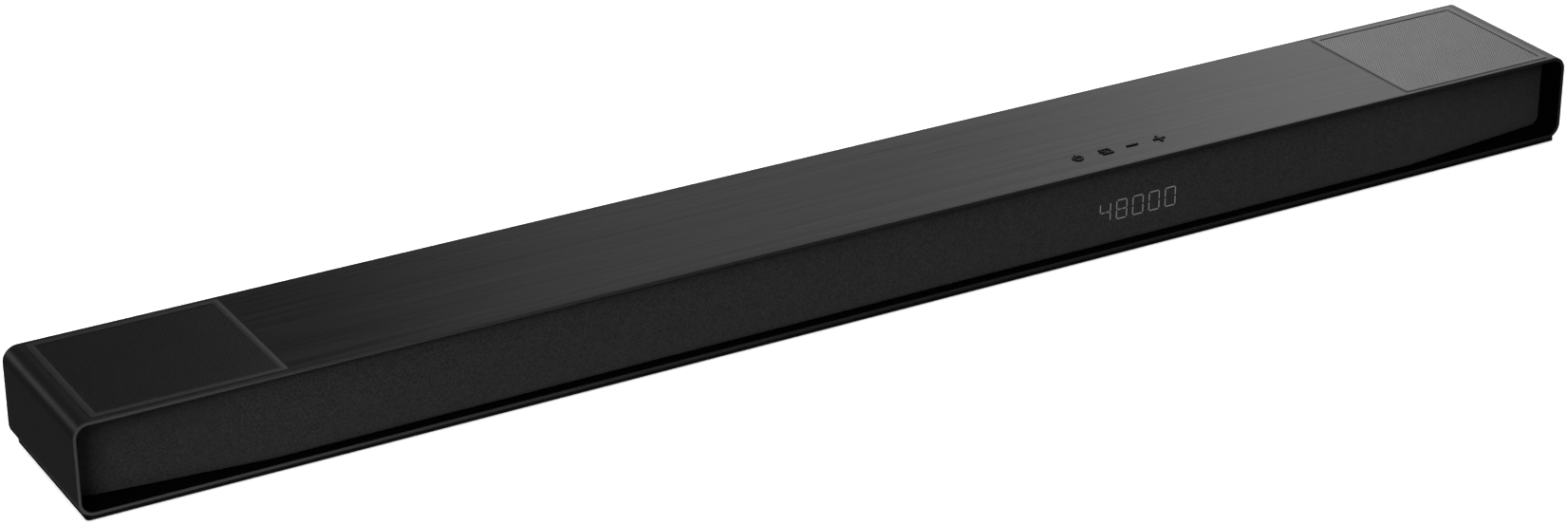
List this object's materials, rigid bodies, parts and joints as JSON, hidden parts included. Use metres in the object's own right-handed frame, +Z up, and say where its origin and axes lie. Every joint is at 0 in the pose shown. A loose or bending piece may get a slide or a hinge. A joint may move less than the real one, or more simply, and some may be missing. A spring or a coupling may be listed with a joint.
{
  "type": "soundbar",
  "caption": "Slim soundbar: rounded sleeve with a recessed fabric front, brushed top plate, perforated up-firing grilles, glyph keys, sprung cones and a rear connector bay.",
  "frame": {"origin": "centre of the footprint, on the surface the feet stand on", "axes": "+X to the listener's right along the bar, -Y towards the listener (fabric front), +Z up"},
  "size_m": [1, 0.106, 0.0591],
  "materials": {
    "sleeve": "satin black moulded plastic",
    "base": "matt black",
    "rubber": "matt",
    "brushed_top": "black anodised, hairline brushed along the bar",
    "perforated_metal": "satin black powder coat",
    "black_plastic": "matt black",
    "rear_plastic": "fine moulded texture, black",
    "fabric": "black woven acoustic cloth",
    "steel": "plain nickel-plated",
    "black_steel": "black oxide",
    "circuit_board": "green solder mask",
    "digit_plastic": "translucent white segments",
    "window": "smoked",
    "dark_lens": "dark infrared lens",
    "heat_sink": "extruded",
    "ferrite": "ferrite and tape",
    "capacitor_sleeve": "shrink sleeve",
    "lead_jacket": "soft PVC",
    "brass": "machined",
    "magnet": "zinc plated",
    "driver_frame": "black coated steel",
    "cone": "coated paper pulp",
    "surround": "butyl roll",
    "key": "gloss black",
    "stem": "nylon"
  },
  "bodies": {
    "cabinet": {"outer_sleeve": "sleeve", "base_plate": "base", "rubber_feet": "rubber", "top_plate": "brushed_top", "left_top_grille": "perforated_metal", "right_top_grille": "perforated_metal", "front_frame": "black_plastic", "front_fabric": "fabric", "rear_panel": "rear_plastic", "key_switches": "steel", "key_board": "circuit_board", "display_board": "circuit_board", "display_digits": "digit_plastic", "display_window": "window", "remote_receiver": "dark_lens", "main_board": "circuit_board", "amplifier_board": "circuit_board", "heat_sink": "heat_sink", "power_board": "circuit_board", "transformer": "ferrite", "capacitors": "capacitor_sleeve", "hdmi_sockets": "steel", "usb_socket": "steel", "optical_socket": "black_plastic", "mains_inlet": "black_plastic", "wireless_module": "steel", "speaker_leads": "lead_jacket", "case_screws": "black_steel", "inner_screws": "steel", "wall_mount_inserts": "brass", "driver_magnets": "magnet", "left_end_frame": "driver_frame", "left_front_frame": "driver_frame", "centre_front_frame": "driver_frame", "right_front_frame": "driver_frame", "right_end_frame": "driver_frame", "left_up_frame": "driver_frame", "right_up_frame": "driver_frame", "left_end_surround": "surround", "left_front_surround": "surround", "centre_front_surround": "surround", "right_front_surround": "surround", "right_end_surround": "surround", "left_up_surround": "surround", "right_up_surround": "surround"},
    "power_button": {"power_key": "key", "power_switch_stem": "stem"},
    "source_button": {"source_key": "key", "source_switch_stem": "stem"},
    "volume_down_button": {"volume_down_key": "key", "volume_down_switch_stem": "stem"},
    "volume_up_button": {"volume_up_key": "key", "volume_up_switch_stem": "stem"},
    "left_end_moving_cone": {"left_end_cone": "cone"},
    "left_front_moving_cone": {"left_front_cone": "cone"},
    "centre_front_moving_cone": {"centre_front_cone": "cone"},
    "right_front_moving_cone": {"right_front_cone": "cone"},
    "right_end_moving_cone": {"right_end_cone": "cone"},
    "left_up_moving_cone": {"left_up_cone": "cone"},
    "right_up_moving_cone": {"right_up_cone": "cone"}
  },
  "joints": [
    {"name": "power_press", "type": "slide", "parent": "cabinet", "child": "power_button", "axis": [0, 0, -1], "range_m": [0, 0.0006], "stiffness_N_per_m": 150, "springref_m": -0.004},
    {"name": "source_press", "type": "slide", "parent": "cabinet", "child": "source_button", "axis": [0, 0, -1], "range_m": [0, 0.0006], "stiffness_N_per_m": 150, "springref_m": -0.004},
    {"name": "volume_down_press", "type": "slide", "parent": "cabinet", "child": "volume_down_button", "axis": [0, 0, -1], "range_m": [0, 0.0006], "stiffness_N_per_m": 150, "springref_m": -0.004},
    {"name": "volume_up_press", "type": "slide", "parent": "cabinet", "child": "volume_up_button", "axis": [0, 0, -1], "range_m": [0, 0.0006], "stiffness_N_per_m": 150, "springref_m": -0.004},
    {"name": "left_end_stroke", "type": "slide", "parent": "cabinet", "child": "left_end_moving_cone", "axis": [-0.1045, -0.9945, 0], "range_m": [-0.0025, 0.0025], "stiffness_N_per_m": 400, "deforming": ["left_end_surround"]},
    {"name": "left_front_stroke", "type": "slide", "parent": "cabinet", "child": "left_front_moving_cone", "axis": [0, -1, 0], "range_m": [-0.0025, 0.0025], "stiffness_N_per_m": 400, "deforming": ["left_front_surround"]},
    {"name": "centre_front_stroke", "type": "slide", "parent": "cabinet", "child": "centre_front_moving_cone", "axis": [0, -1, 0], "range_m": [-0.0025, 0.0025], "stiffness_N_per_m": 400, "deforming": ["centre_front_surround"]},
    {"name": "right_front_stroke", "type": "slide", "parent": "cabinet", "child": "right_front_moving_cone", "axis": [0, -1, 0], "range_m": [-0.0025, 0.0025], "stiffness_N_per_m": 400, "deforming": ["right_front_surround"]},
    {"name": "right_end_stroke", "type": "slide", "parent": "cabinet", "child": "right_end_moving_cone", "axis": [0.1045, -0.9945, 0], "range_m": [-0.0025, 0.0025], "stiffness_N_per_m": 400, "deforming": ["right_end_surround"]},
    {"name": "left_up_stroke", "type": "slide", "parent": "cabinet", "child": "left_up_moving_cone", "axis": [0, 0, 1], "range_m": [-0.0025, 0.0025], "stiffness_N_per_m": 400, "deforming": ["left_up_surround"]},
    {"name": "right_up_stroke", "type": "slide", "parent": "cabinet", "child": "right_up_moving_cone", "axis": [0, 0, 1], "range_m": [-0.0025, 0.0025], "stiffness_N_per_m": 400, "deforming": ["right_up_surround"]}
  ]
}
